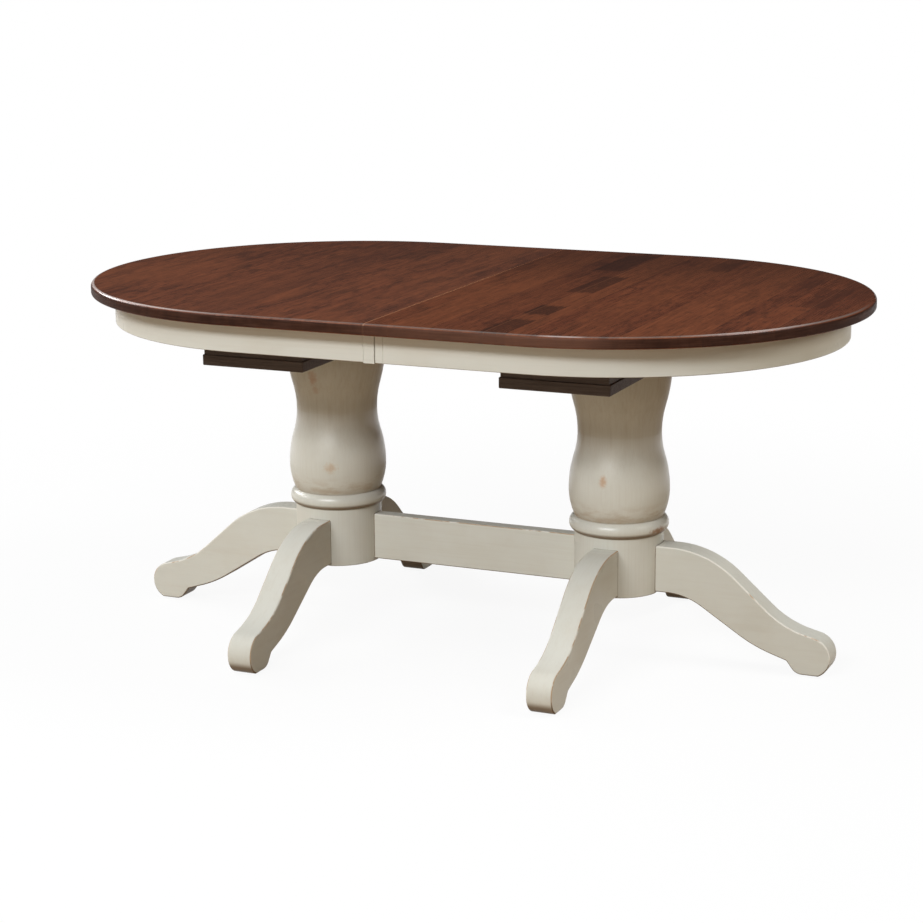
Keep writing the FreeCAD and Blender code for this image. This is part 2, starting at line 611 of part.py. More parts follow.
def pedestal_plate(side_sign):
    half_x, half_y = PLATE_WIDTH / 2, PLATE_LENGTH / 2
    board = box(-half_x, half_x, -half_y, half_y, COLUMN_TOP, PLATE_TOP)
    board = board.makeChamfer(PLATE_EDGE_BREAK, board.Edges)
    cuts = [screw(LAG_SCREW, x, y, PLATE_TOP, COLUMN_TOP, SCREW_CLEARANCE) for x, y in lag_places()]
    cuts += [screw(WOOD_SCREW, x, y, COLUMN_TOP, PLATE_TOP, SCREW_CLEARANCE)
             for x, y in rail_screw_places() + cleat_screw_places()]
    return moved(board.cut(Part.makeCompound(cuts)), side_sign * PEDESTAL_X)


def slide_cleat(side_sign):
    half_x, half_y = PLATE_WIDTH / 2 - CLEAT_INSET, PLATE_LENGTH / 2 - CLEAT_INSET
    board = box(-half_x, half_x, -half_y, half_y, PLATE_TOP, CLEAT_TOP)
    radius = SCREW_RADIUS + SCREW_CLEARANCE
    cuts = [cylinder(radius, x, y, PLATE_TOP, CLEAT_TOP) for x, y in rail_screw_places()]
    screw_end = PLATE_TOP + CLEAT_SCREW_IN_CLEAT
    cuts += [cylinder(radius, x, y, PLATE_TOP, screw_end) for x, y in cleat_screw_places()]
    return moved(board.cut(Part.makeCompound(cuts)), side_sign * PEDESTAL_X)


def plate_screws(side_sign):
    tip = COLUMN_TOP - LAG_LENGTH_IN_COLUMN
    screws = [screw(LAG_SCREW, x, y, PLATE_TOP, tip) for x, y in lag_places()]
    return moved(Part.makeCompound(screws), side_sign * PEDESTAL_X)


def cleat_screws(side_sign):
    tip = PLATE_TOP + CLEAT_SCREW_IN_CLEAT
    screws = [screw(WOOD_SCREW, x, y, COLUMN_TOP, tip) for x, y in cleat_screw_places()]
    return moved(Part.makeCompound(screws), side_sign * PEDESTAL_X)


def rail_screws():
    tip = CLEAT_TOP + RAIL_SCREW_IN_RAIL
    screws = [screw(WOOD_SCREW, sign * PEDESTAL_X + x, y, COLUMN_TOP, tip)
              for _, sign in SIDES for x, y in rail_screw_places()]
    return Part.makeCompound(screws)


def tongue_section(face, depth, neck, tip):
    """Dovetail outline, from its lower to its upper corner, as (y, z) pairs that start on a face."""
    return [(face, TONGUE_LEVEL - neck / 2), (face + depth, TONGUE_LEVEL - tip / 2),
            (face + depth, TONGUE_LEVEL + tip / 2), (face, TONGUE_LEVEL + neck / 2)]


def fixed_rail(y_centre):
    """Rail screwed to the cleats, with a dovetail groove in each side and a slot for the pinion."""
    half = RAIL_WIDTH / 2
    top = CLEAT_TOP + RAIL_HEIGHT
    room = TONGUE_CLEARANCE
    reach = TONGUE_DEPTH - SIDE_CLEARANCE + room
    widen = (TONGUE_TIP - TONGUE_NECK) / TONGUE_DEPTH
    neck = TONGUE_NECK + widen * SIDE_CLEARANCE + 2 * room
    tip = neck + widen * reach
    groove = tongue_section(-half, reach, neck, tip)
    other = [(-y, z) for y, z in reversed(groove)]
    outline = [(-half, CLEAT_TOP)] + groove + [(-half, top), (half, top)] + other + [(half, CLEAT_TOP)]
    start = -RAIL_LENGTH / 2
    rail = polygon_solid([point(start, y, z) for y, z in outline], point(RAIL_LENGTH, 0, 0))
    slot = PINION_TIP + SLOT_PAST_TIP
    cuts = [
        box(-slot, slot, -half, half, GEAR_BOTTOM - SLOT_CLEARANCE, GEAR_TOP + SLOT_CLEARANCE),
        cylinder(AXLE_RADIUS + THREAD_CLEARANCE, 0, 0, CLEAT_TOP, CLEAT_TOP + AXLE_HEIGHT),
    ]
    for _, sign in SIDES:
        for x in (-RAIL_SCREW_OFFSET, RAIL_SCREW_OFFSET):
            cuts.append(cylinder(SCREW_RADIUS + SCREW_CLEARANCE, sign * PEDESTAL_X + x, 0,
                                 CLEAT_TOP, CLEAT_TOP + RAIL_SCREW_IN_RAIL))
    return moved(rail.cut(Part.makeCompound(cuts)), 0, y_centre)


def runner_screw_y():
    """Distance of the runner's screws from the middle of the slide set."""
    return RUNNER_FACE + RUNNER_WIDTH - RUNNER_SCREW_FROM_OUTSIDE


def runner_screw_places(sign):
    """Places of one half's runner screws. The left runners lie on the -Y side of their rails."""
    return [(sign * x, way * SLIDE_Y + sign * runner_screw_y())
            for _, way in ENDS for x in RUNNER_SCREW_PLACES]


def left_runner():
    """Runner of the left half in the frame of its slide set, on the -Y side of the rail."""
    inner, outer = -RUNNER_FACE, -RUNNER_FACE - RUNNER_WIDTH
    tongue = tongue_section(inner, TONGUE_DEPTH, TONGUE_NECK, TONGUE_TIP)
    outline = [(outer, RUNNER_BOTTOM), (inner, RUNNER_BOTTOM)] + tongue
    outline += [(inner, TOP_UNDERSIDE), (outer, TOP_UNDERSIDE)]
    length = RUNNER_OUTER_END + RUNNER_INNER_END
    runner = polygon_solid([point(-RUNNER_OUTER_END, y, z) for y, z in outline], point(length, 0, 0))
    groove_floor = -RACK_ROOT - RACK_BACK
    cuts = [
        box(RACK_START, RUNNER_INNER_END, groove_floor, inner, GEAR_BOTTOM, GEAR_TOP),
        box(0, RUNNER_INNER_END, outer, inner, TOP_UNDERSIDE - RUNNER_RELIEF, TOP_UNDERSIDE),
    ]
    web_bottom = TOP_UNDERSIDE - RUNNER_SCREW_WEB
    for x in RUNNER_SCREW_PLACES:
        y = -runner_screw_y()
        cuts.append(cylinder(SCREW_HEAD_RADIUS + SCREW_CLEARANCE, -x, y, RUNNER_BOTTOM, web_bottom))
        cuts.append(cylinder(SCREW_RADIUS + SCREW_CLEARANCE, -x, y, RUNNER_BOTTOM, TOP_UNDERSIDE))
    return runner.cut(Part.makeCompound(cuts))


def left_rack():
    """Rack of the left runner in the frame of its slide set. A gap for the pinion's tooth lies at X = 0."""
    slope = math.tan(math.radians(PRESSURE_ANGLE))
    half_pitch_tooth = TOOTH_PITCH / 4 - BACKLASH / 2
    half_tip = half_pitch_tooth - GEAR_MODULE * slope
    half_root = half_pitch_tooth + (GEAR_MODULE + ROOT_CLEARANCE) * slope
    back = -RACK_ROOT - RACK_BACK
    root, tip = -RACK_ROOT, -PITCH_RADIUS + GEAR_MODULE
    first = math.ceil((RACK_START + half_root) / TOOTH_PITCH - 0.5)
    centres = [(first + 0.5 + i) * TOOTH_PITCH for i in range(RACK_TEETH)]
    centres = [x for x in centres if x + half_root <= RACK_END]
    outline = [(RACK_START, back), (RACK_START, root)]
    for x in centres:
        outline += [(x - half_root, root), (x - half_tip, tip), (x + half_tip, tip), (x + half_root, root)]
    outline += [(RACK_END, root), (RACK_END, back)]
    return polygon_solid([point(x, y, GEAR_BOTTOM) for x, y in outline], UP * GEAR_WIDTH)


def involute(base_radius, radius):
    """Angle between the start of an involute and its place at a radius."""
    roll = math.sqrt(max((radius / base_radius) ** 2 - 1, 0.0))
    return roll - math.atan(roll)


def pinion():
    """Spur gear with involute teeth, one of them pointing to -Y."""
    base = PITCH_RADIUS * math.cos(math.radians(PRESSURE_ANGLE))
    low = max(base, PINION_ROOT)
    half_pitch = math.pi / (2 * PINION_TEETH) - BACKLASH / 2 / PITCH_RADIUS
    lean = half_pitch + involute(base, PITCH_RADIUS)
    stations = (low, PITCH_RADIUS, PINION_TIP)
    edges = []
    previous = None
    first = None

    def at(radius, angle):
        return point(radius * math.cos(angle), radius * math.sin(angle), GEAR_BOTTOM)

    for i in range(PINION_TEETH):
        centre = -math.pi / 2 + i * 2 * math.pi / PINION_TEETH
        rising = [at(r, centre - lean + involute(base, r)) for r in stations]
        falling = [at(r, centre + lean - involute(base, r)) for r in reversed(stations)]
        foot = at(PINION_ROOT, centre - lean)
        end = at(PINION_ROOT, centre + lean)
        if previous is None:
            first = foot
        else:
            edges.append(line(previous, foot))
        edges += [line(foot, rising[0]), arc(*rising), line(rising[-1], falling[0])]
        edges += [arc(*falling), line(falling[-1], end)]
        previous = end
    edges.append(line(previous, first))
    gear = Part.Face(Part.Wire(edges)).extrude(UP * GEAR_WIDTH)
    return gear.cut(cylinder(AXLE_RADIUS + AXLE_CLEARANCE, 0, 0, GEAR_BOTTOM, GEAR_TOP))


def runner_screws(sign):
    head = TOP_UNDERSIDE - RUNNER_SCREW_WEB - SCREW_HEAD_HEIGHT
    tip = TOP_UNDERSIDE + RUNNER_SCREW_IN_TOP
    return Part.makeCompound([screw(WOOD_SCREW, x, y, head, tip) for x, y in runner_screw_places(sign)])


def lock_plate(y):
    """Plate under the left half that carries the lever's pivot."""
    low = TOP_UNDERSIDE - LOCK_PLATE_THICKNESS
    pivot = -LOCK_PIVOT_FROM_SEAM
    half = LOCK_PLATE_WIDTH / 2
    return box(pivot - LOCK_PLATE_MARGIN, pivot + LOCK_PLATE_MARGIN, y - half, y + half, low, TOP_UNDERSIDE)


def lock_pivot(y):
    """Rivet that hangs the lever under its plate."""
    pivot = -LOCK_PIVOT_FROM_SEAM
    top = TOP_UNDERSIDE - LOCK_PLATE_THICKNESS
    low = LOCK_LEVER_BOTTOM - LOCK_LEVER_GAP
    stem = cylinder(LOCK_PIVOT_RADIUS, pivot, y, low, top)
    head = cylinder(LOCK_RIVET_HEAD_RADIUS, pivot, y, low - LOCK_RIVET_HEAD_HEIGHT, low)
    return stem.fuse(head)


def lock_keeper(y):
    """Plate under the right half with the stud that the hook goes round."""
    low = TOP_UNDERSIDE - LOCK_PLATE_THICKNESS
    stud = LOCK_STUD_FROM_SEAM
    half = LOCK_PLATE_WIDTH / 2
    plate = box(stud - LOCK_PLATE_MARGIN, stud + LOCK_PLATE_MARGIN, y - half, y + half, low, TOP_UNDERSIDE)
    return plate.fuse(cylinder(LOCK_STUD_RADIUS, stud, y, LOCK_LEVER_BOTTOM, low))


def lock_lever(y):
    """Lever with a hook whose slot runs round the pivot, and a handle with a bent finger tab. Drawn open."""
    pivot = -LOCK_PIVOT_FROM_SEAM
    reach = LOCK_PIVOT_FROM_SEAM + LOCK_STUD_FROM_SEAM
    slot_half = LOCK_STUD_RADIUS + LOCK_SLOT_CLEARANCE
    low, high = LOCK_LEVER_BOTTOM, LOCK_LEVER_TOP
    outer = reach + slot_half + LOCK_HOOK_WIDTH
    sweep = LOCK_HOOK_AHEAD + LOCK_HOOK_BEHIND
    sector = Part.makeCylinder(outer, high - low, point(0, 0, low), UP, sweep)
    sector = turned(sector, -LOCK_HOOK_AHEAD)
    slot = Part.makeCylinder(reach + slot_half, high - low, point(0, 0, low), UP, sweep)
    slot = slot.cut(cylinder(reach - slot_half, 0, 0, low, high))
    slot = turned(slot, -LOCK_HOOK_AHEAD)
    closed_end = math.degrees(2 * math.asin(slot_half / reach))
    keep = Part.makeCylinder(outer, high - low, point(0, 0, low), UP, LOCK_HOOK_BEHIND - closed_end)
    slot = slot.cut(turned(keep, closed_end))
    handle = box(-LOCK_HANDLE_LENGTH, 0, -LOCK_HANDLE_WIDTH / 2, LOCK_HANDLE_WIDTH / 2, low, high)
    tab = box(-LOCK_HANDLE_LENGTH, -LOCK_HANDLE_LENGTH + LOCK_LEVER_THICKNESS, -LOCK_HANDLE_WIDTH / 2,
              LOCK_HANDLE_WIDTH / 2, low - LOCK_TAB_DROP, high)
    body = sector.cut(slot).fuse([cylinder(LOCK_HUB_RADIUS, 0, 0, low, high), handle, tab])
    body = body.cut(cylinder(LOCK_PIVOT_RADIUS + LOCK_PIVOT_CLEARANCE, 0, 0, low, high))
    return moved(turned(body.removeSplitter(), LOCK_OPEN_ANGLE), pivot, y)


def build():
    """Every piece of the table under its node name."""
    nodes = {"stretcher": stretcher(), "floor_glides": floor_glides(), "rail_screws": rail_screws()}
    leg_shape = leg()
    for side, sign in SIDES:
        nodes[side + "_column"] = column(sign)
        for name, angle, x in leg_places(side, sign):
            nodes[name] = moved(turned(leg_shape, angle), x)
        for kind, shape in zip(("bolts", "washers", "nuts"), hub_fasteners(sign)):
            nodes[side + "_leg_" + kind] = shape
        nodes[side + "_pedestal_plate"] = pedestal_plate(sign)
        nodes[side + "_slide_cleat"] = slide_cleat(sign)
        nodes[side + "_plate_screws"] = plate_screws(sign)
        nodes[side + "_cleat_screws"] = cleat_screws(sign)
        nodes[side + "_top_panel"] = top_panel(sign)
        nodes[side + "_apron"] = apron(sign)
        nodes[side + "_apron_end_blocks"] = apron_end_blocks(sign)
        nodes[side + "_glue_blocks"] = glue_blocks(sign)
        nodes[side + "_runner_screws"] = runner_screws(sign)
    nodes["alignment_pins"] = alignment_pins()
    runner_shape, rack_shape, pinion_shape = left_runner(), left_rack(), pinion()
    axle = cylinder(AXLE_RADIUS, 0, 0, CLEAT_TOP, CLEAT_TOP + AXLE_HEIGHT)
    for end, way in ENDS:
        y = way * SLIDE_Y
        nodes[end + "_fixed_rail"] = fixed_rail(y)
        nodes[end + "_pinion_axle"] = moved(axle, 0, y)
        nodes[end + "_pinion"] = moved(pinion_shape, 0, y)
        for side, degrees in (("left", 0), ("right", 180)):
            nodes[side + "_" + end + "_runner"] = moved(turned(runner_shape, degrees), 0, y)
            nodes[side + "_" + end + "_rack"] = moved(turned(rack_shape, degrees), 0, y)
        nodes[end + "_lock_lever"] = lock_lever(way * LOCK_Y)
    lock_rows = [way * LOCK_Y for _, way in ENDS]
    nodes["lock_plates"] = Part.makeCompound([lock_plate(y) for y in lock_rows])
    nodes["lock_pivots"] = Part.makeCompound([lock_pivot(y) for y in lock_rows])
    nodes["lock_keepers"] = Part.makeCompound([lock_keeper(y) for y in lock_rows])
    return nodes


def main():
    os.makedirs("parts", exist_ok=True)
    for name, shape in build().items():
        solids = shape.Solids
        good = shape.isValid() and all(solid.Volume > 0 for solid in solids)
        print(name, "solids", len(solids), "valid" if good else "NOT VALID")
        result = solids[0] if len(solids) == 1 else Part.makeCompound(solids)
        result.exportStep("parts/" + name + ".step")


main()
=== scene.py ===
import math

import bpy
from mathutils import Matrix, Vector


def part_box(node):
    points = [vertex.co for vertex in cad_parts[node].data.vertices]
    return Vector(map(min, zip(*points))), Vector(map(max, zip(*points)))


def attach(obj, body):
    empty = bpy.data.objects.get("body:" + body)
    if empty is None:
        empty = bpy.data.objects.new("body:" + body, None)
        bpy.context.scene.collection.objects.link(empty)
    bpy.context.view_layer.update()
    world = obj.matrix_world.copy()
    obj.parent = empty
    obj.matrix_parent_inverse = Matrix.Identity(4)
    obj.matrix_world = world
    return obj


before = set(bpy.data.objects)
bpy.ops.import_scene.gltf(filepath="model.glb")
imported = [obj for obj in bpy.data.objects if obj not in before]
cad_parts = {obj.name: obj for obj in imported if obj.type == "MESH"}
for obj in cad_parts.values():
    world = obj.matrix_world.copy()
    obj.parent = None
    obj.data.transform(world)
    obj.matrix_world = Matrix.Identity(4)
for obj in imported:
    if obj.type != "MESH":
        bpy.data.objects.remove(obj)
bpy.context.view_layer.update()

# Places on the pedestals and the top, in metres
LEFT_COLUMN_LOW, LEFT_COLUMN_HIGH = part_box("left_column")
PEDESTAL_X = -(LEFT_COLUMN_LOW[0] + LEFT_COLUMN_HIGH[0]) / 2
HUB_BOTTOM = LEFT_COLUMN_LOW[2]
HUB_RADIUS = 0.093
BEAD_BOTTOM = HUB_BOTTOM + 0.125
BEAD_TOP = BEAD_BOTTOM + 0.033
NECK_START, NECK_FULL = 0.40, 0.49
LEG_SEAT, HALF_LEG, LEG_SHIFT = 0.08803, 0.027, 0.003
STRETCHER_SEAT, HALF_STRETCHER = 0.0917, 0.0155
SEAT_OVERLAP = 0.0003
BOARD_EDGE_ROUND = 0.0035
ROUND_STEPS = 14
SHARP_EDGE = math.radians(30)
STAVE_WIDTH = 0.062

# Camera of the photograph
CAMERA_TARGET = Vector((-0.0314, 0.0, 0.3756))
CAMERA_AZIMUTH = 23.546
CAMERA_ELEVATION = 13.301
CAMERA_ROLL = math.radians(-0.439)
CAMERA_DISTANCE = 4.987
CAMERA_REACH = 200.0
FOCAL_LENGTH_IN_PIXELS = 2340.5
IMAGE_WIDTH_IN_PIXELS = 923
SENSOR_WIDTH = 36.0


def ink(red, green, blue):
    """A colour from its 0 to 255 screen values, in the linear values that sockets take."""
    def linear(value):
        part = value / 255
        return part / 12.92 if part <= 0.04045 else ((part + 0.055) / 1.055) ** 2.4
    return (linear(red), linear(green), linear(blue), 1.0)


def direction(azimuth, elevation):
    """The way from the table's middle to a place. Azimuth 0 is in front and 90 is to the right."""
    a, e = math.radians(azimuth), math.radians(elevation)
    return Vector((math.sin(a) * math.cos(e), -math.cos(a) * math.cos(e), math.sin(e)))


# Node tools

def place_node(tree, kind, inputs=None, **settings):
    """One shader node with its settings, its plain values and its links."""
    made = tree.nodes.new(kind)
    for name, value in settings.items():
        setattr(made, name, value)
    for socket, value in (inputs or {}).items():
        if isinstance(value, bpy.types.NodeSocket):
            tree.links.new(value, made.inputs[socket])
        else:
            made.inputs[socket].default_value = value
    return made


def reckon(tree, operation, *values):
    """The result of one Math node."""
    return place_node(tree, "ShaderNodeMath", dict(enumerate(values)), operation=operation).outputs[0]


def reckon_vector(tree, operation, *values):
    """The result of one Vector Math node."""
    made = place_node(tree, "ShaderNodeVectorMath", dict(enumerate(values)), operation=operation)
    return made.outputs["Value" if operation in ("DOT_PRODUCT", "LENGTH") else "Vector"]


def ease(tree, value, low, high):
    """A smooth step from 0 at low to 1 at high, or the other way round if low is the larger."""
    made = place_node(tree, "ShaderNodeMapRange", {"Value": value}, interpolation_type="SMOOTHSTEP")
    made.inputs["From Min"].default_value = min(low, high)
    made.inputs["From Max"].default_value = max(low, high)
    made.inputs["To Min"].default_value = 0.0 if low < high else 1.0
    made.inputs["To Max"].default_value = 1.0 if low < high else 0.0
    return made.outputs["Result"]


def band(tree, value, start, full, fade, end):
    """A mask that rises smoothly from start to full and falls again from fade to end."""
    return reckon(tree, "MULTIPLY", ease(tree, value, start, full), ease(tree, value, end, fade))


def share(tree, mask, amount):
    """A mask brought down to an amount."""
    return reckon(tree, "MULTIPLY", mask, amount)


def lift(tree, base, mask, amount):
    """A base value with an amount of a mask on top."""
    return reckon(tree, "ADD", base, share(tree, mask, amount))


def tint(tree, cover, under, over):
    """The colour over laid on the colour under by a cover from 0 to 1."""
    return place_node(tree, "ShaderNodeMix", {0: cover, 6: under, 7: over}, data_type="RGBA").outputs[2]


def lay(tree, mask, amount, under, over):
    """The colour over laid on the colour under by an amount of a mask."""
    return tint(tree, share(tree, mask, amount), under, over)


def noise(tree, vector, scale=1.0, detail=3.0, roughness=0.5):
    """A noise from 0 to 1."""
    made = place_node(tree, "ShaderNodeTexNoise", {"Vector": vector, "Scale": scale, "Detail": detail,
                                                   "Roughness": roughness})
    return made.outputs["Fac"]


def scaled(tree, vector, x, y, z):
    """A place scaled along each axis."""
    return reckon_vector(tree, "MULTIPLY", vector, (x, y, z))


def joined(tree, **values):
    """A vector from the values of its axes."""
    return place_node(tree, "ShaderNodeCombineXYZ", values).outputs[0]


def split(tree, vector):
    """The values of a vector's axes."""
    return place_node(tree, "ShaderNodeSeparateXYZ", {"Vector": vector}).outputs


def chance(tree, x, y, z):
    """A fixed random value from 0 to 1 for three whole numbers."""
    place = joined(tree, X=x, Y=y, Z=z)
    made = place_node(tree, "ShaderNodeTexWhiteNoise", {"Vector": place}, noise_dimensions="3D")
    return made.outputs["Value"]


def new_group(name, inputs, outputs):
    """An empty shader node group with its named sockets."""
    group = bpy.data.node_groups.new(name, "ShaderNodeTree")
    for label, kind, value in inputs:
        socket = group.interface.new_socket(label, in_out="INPUT", socket_type=kind)
        socket.default_value = value
    for label in outputs:
        group.interface.new_socket(label, in_out="OUTPUT", socket_type="NodeSocketFloat")
    entry = group.nodes.new("NodeGroupInput")
    leave = group.nodes.new("NodeGroupOutput")
    return group, entry.outputs, leave.inputs


def use_group(tree, group, inputs):
    """The outputs of a node group placed in a material."""
    return place_node(tree, "ShaderNodeGroup", inputs, node_tree=group).outputs


# Effects that several finishes share

PLACE_SOCKET = ("Place", "NodeSocketVector", (0, 0, 0))
DRAWN_OUT = (PLACE_SOCKET, ("Stretch", "NodeSocketVector", (1, 1, 1)), ("Seed", "NodeSocketFloat", 0.0))


def drawn_out(group, given):
    """The place drawn out along the direction in which Stretch is small, and the offset of the seed."""
    offset = joined(group, X=given["Seed"], Y=given["Seed"], Z=given["Seed"])
    stretched = reckon_vector(group, "MULTIPLY", given["Place"], given["Stretch"])
    return reckon_vector(group, "ADD", stretched, offset), offset


def make_wood_grain():
    """Streaks, pores and height of wood whose grain runs where Stretch is small."""
    group, given, result = new_group("wood_grain", DRAWN_OUT, ("Streaks", "Pores", "Height"))
    along, _ = drawn_out(group, given)
    broad = noise(group, along, 1.0, 5.0, 0.62)
    fine = noise(group, along, 3.3, 3.0, 0.55)
    streaks = reckon(group, "ADD", share(group, broad, 0.62), share(group, fine, 0.38))
    pores = ease(group, noise(group, along, 5.1, 2.0, 0.5), 0.60, 0.72)
    height = reckon(group, "SUBTRACT", streaks, share(group, pores, 0.35))
    group.links.new(ease(group, streaks, 0.32, 0.68), result["Streaks"])
    group.links.new(pores, result["Pores"])
    group.links.new(height, result["Height"])
    return group


def make_brushed_glaze():
    """Where a thin brown glaze stays after it is brushed out where Stretch is small."""
    group, given, result = new_group("brushed_glaze", DRAWN_OUT, ("Strokes", "Clouds", "Height"))
    along, offset = drawn_out(group, given)
    strokes = noise(group, along, 1.0, 4.0, 0.6)
    hairs = noise(group, along, 3.7, 2.0, 0.5)
    clouds = noise(group, reckon_vector(group, "ADD", given["Place"], offset), 9.0, 3.0, 0.55)
    mixed = reckon(group, "ADD", share(group, strokes, 0.7), share(group, hairs, 0.3))
    group.links.new(ease(group, mixed, 0.42, 0.72), result["Strokes"])
    group.links.new(ease(group, clouds, 0.42, 0.70), result["Clouds"])
    group.links.new(mixed, result["Height"])
    return group


def make_edge_rub_and_highlight():
    """Broken lines along rounded edges between a board's faces and its thin sides, for bare wood and a
    painted highlight.
    """
    group, given, result = new_group(
        "edge_rub_and_highlight",
        (("Normal", "NodeSocketVector", (0, 0, 1)), ("Across", "NodeSocketVector", (0, 1, 0)),
         PLACE_SOCKET, ("Amount", "NodeSocketFloat", 0.5)),
        ("Mask",))
    lean = reckon(group, "ABSOLUTE", reckon_vector(group, "DOT_PRODUCT", given["Normal"], given["Across"]))
    on_round = band(group, lean, 0.30, 0.55, 0.88, 0.985)
    patches = noise(group, given["Place"], 14.0, 3.0, 0.6)
    grit = noise(group, given["Place"], 160.0, 2.0, 0.5)
    broken = lift(group, patches, reckon(group, "SUBTRACT", grit, 0.5), 0.35)
    lifted = reckon(group, "ADD", broken, reckon(group, "SUBTRACT", given["Amount"], 0.5))
    group.links.new(reckon(group, "MULTIPLY", on_round, ease(group, lifted, 0.36, 0.62)), result["Mask"])
    return group


def make_ragged_spot():
    """A spot with a ragged rim about a centre."""
    group, given, result = new_group(
        "ragged_spot",
        (PLACE_SOCKET, ("Centre", "NodeSocketVector", (0, 0, 0)),
         ("Size", "NodeSocketVector", (0.01, 0.01, 0.01))),
        ("Mask", "Heart"))
    from_centre = reckon_vector(group, "SUBTRACT", given["Place"], given["Centre"])
    shape = reckon_vector(group, "LENGTH", reckon_vector(group, "DIVIDE", from_centre, given["Size"]))
    ragged = reckon(group, "SUBTRACT", noise(group, given["Place"], 130.0, 3.0, 0.6), 0.5)
    distance = lift(group, shape, ragged, 1.5)
    group.links.new(ease(group, distance, 1.15, 0.35), result["Mask"])
    group.links.new(ease(group, distance, 0.55, 0.05), result["Heart"])
    return group


def make_stave_patch():
    """A rippled stretch of one stave between two corners, crisp along its sides and softer at its ends."""
    group, given, result = new_group(
        "stave_patch",
        (PLACE_SOCKET, ("Low", "NodeSocketVector", (0, 0, 0)), ("High", "NodeSocketVector", (0.1, 0.1, 0.1))),
        ("Mask",))
    past_low = split(group, reckon_vector(group, "SUBTRACT", given["Place"], given["Low"]))
    past_high = split(group, reckon_vector(group, "SUBTRACT", given["High"], given["Place"]))
    within_sides = ease(group, reckon(group, "MINIMUM", past_low["X"], past_high["X"]), -0.001, 0.0015)
    uneven = reckon(group, "SUBTRACT", noise(group, scaled(group, given["Place"], 130.0, 8.0, 8.0)), 0.5)
    from_end = lift(group, reckon(group, "MINIMUM", past_low["Y"], past_high["Y"]), uneven, 0.05)
    within = reckon(group, "MULTIPLY", within_sides, ease(group, from_end, -0.008, 0.014))
    bend = noise(group, scaled(group, given["Place"], 38.0, 22.0, 10.0), 1.0, 3.0, 0.6)
    ripple = reckon(group, "SINE", lift(group, share(group, past_low["Y"], 260.0), bend, 46.0))
    shaded = lift(group, 0.86, ripple, 0.14)
    group.links.new(reckon(group, "MULTIPLY", within, shaded), result["Mask"])
    return group


WOOD_GRAIN = make_wood_grain()
BRUSHED_GLAZE = make_brushed_glaze()
EDGE_RUB_AND_HIGHLIGHT = make_edge_rub_and_highlight()
RAGGED_SPOT = make_ragged_spot()
STAVE_PATCH = make_stave_patch()


# Colours of the stained top, with its painted sheen, shade and highlights

DARK_STREAK, LIGHT_STREAK = ink(115, 62, 42), ink(155, 88, 58)
FIGURE_STAIN = ink(76, 42, 33)
MOTTLE_STAIN = ink(70, 40, 32)
WARM_STAIN = ink(170, 98, 61)
DARKER_STAVE = ink(78, 44, 35)
PALER_STAVE = ink(172, 102, 64)
DARK_PATCH = ink(54, 32, 27)
GRAIN_STAIN = ink(80, 44, 33)
PORE_STAIN = ink(46, 27, 22)
PALE_FLECK = ink(176, 112, 76)
PALE_JOINT = ink(172, 112, 78)
PALE_SEAM = ink(184, 130, 96)
DARK_EDGE, LIGHT_EDGE, EDGE_SHEEN_COLOUR = ink(41, 28, 23), ink(55, 37, 30), ink(108, 76, 62)
PAINTED_BACK_SHADE = ink(50, 31, 27)
PAINTED_TOP_SHEEN = ink(176, 150, 138)
RIM_REFLECTION_GREY = ink(120, 124, 121)
RIM_HIGHLIGHT = ink(226, 208, 202)

# Colours of the glazed paint, with a painted highlight and painted shade

CREAM = ink(221, 220, 210)
CLOUDED_CREAM = ink(204, 197, 180)
GLAZE = ink(178, 156, 128)
NECK_GLAZE_AND_SHADE = ink(156, 132, 102)
DARK_GLAZE_AND_SHADE = ink(116, 92, 66)
EDGE_HIGHLIGHT = ink(236, 232, 222)
BARE_WOOD = ink(186, 152, 116)
KNOT = ink(206, 180, 150)
KNOT_HEART = ink(190, 156, 122)

# Finishes


def new_finish(name, **constants):
    """A material with one Principled BSDF, with its tree, shader, object place and object normal."""
    material = bpy.data.materials.new(name)
    material.use_nodes = True
    tree = material.node_tree
    shader = tree.nodes["Principled BSDF"]
    for socket, value in constants.items():
        shader.inputs[socket.replace("_", " ")].default_value = value
    coordinates = tree.nodes.new("ShaderNodeTexCoord")
    return material, tree, shader, coordinates.outputs["Object"], coordinates.outputs["Normal"]


def raise_surface(tree, shader, height, depth):
    """Fine relief of the given depth in metres."""
    bump = place_node(tree, "ShaderNodeBump", {"Height": height, "Strength": 1.0, "Distance": depth})
    tree.links.new(bump.outputs["Normal"], shader.inputs["Normal"])


def give(tree, shader, socket, value):
    """A value for one socket of the shader."""
    tree.links.new(value, shader.inputs[socket])


def edge_of_top(tree, place, x, figure):
    """Dark wood of the top's edge, with a painted sheen lighter along the middle of its front."""
    wood = tint(tree, ease(tree, figure, 0.40, 0.65), DARK_EDGE, LIGHT_EDGE)
    lines = noise(tree, scaled(tree, place, 14.0, 14.0, 420.0), 1.0, 3.0, 0.6)
    # Painted sheen: the front edge lighter along its middle, most just right of the seam.
    sheen_along_front = band(tree, x, -0.10, 0.10, 0.42, 0.56)
    strongest_sheen = band(tree, x, 0.16, 0.32, 0.42, 0.50)
    edge_sheen = lift(tree, share(tree, sheen_along_front, 0.50), ease(tree, lines, 0.45, 0.65), 0.18)
    edge_sheen = lift(tree, edge_sheen, strongest_sheen, 0.24)
    return tint(tree, edge_sheen, wood, EDGE_SHEEN_COLOUR)


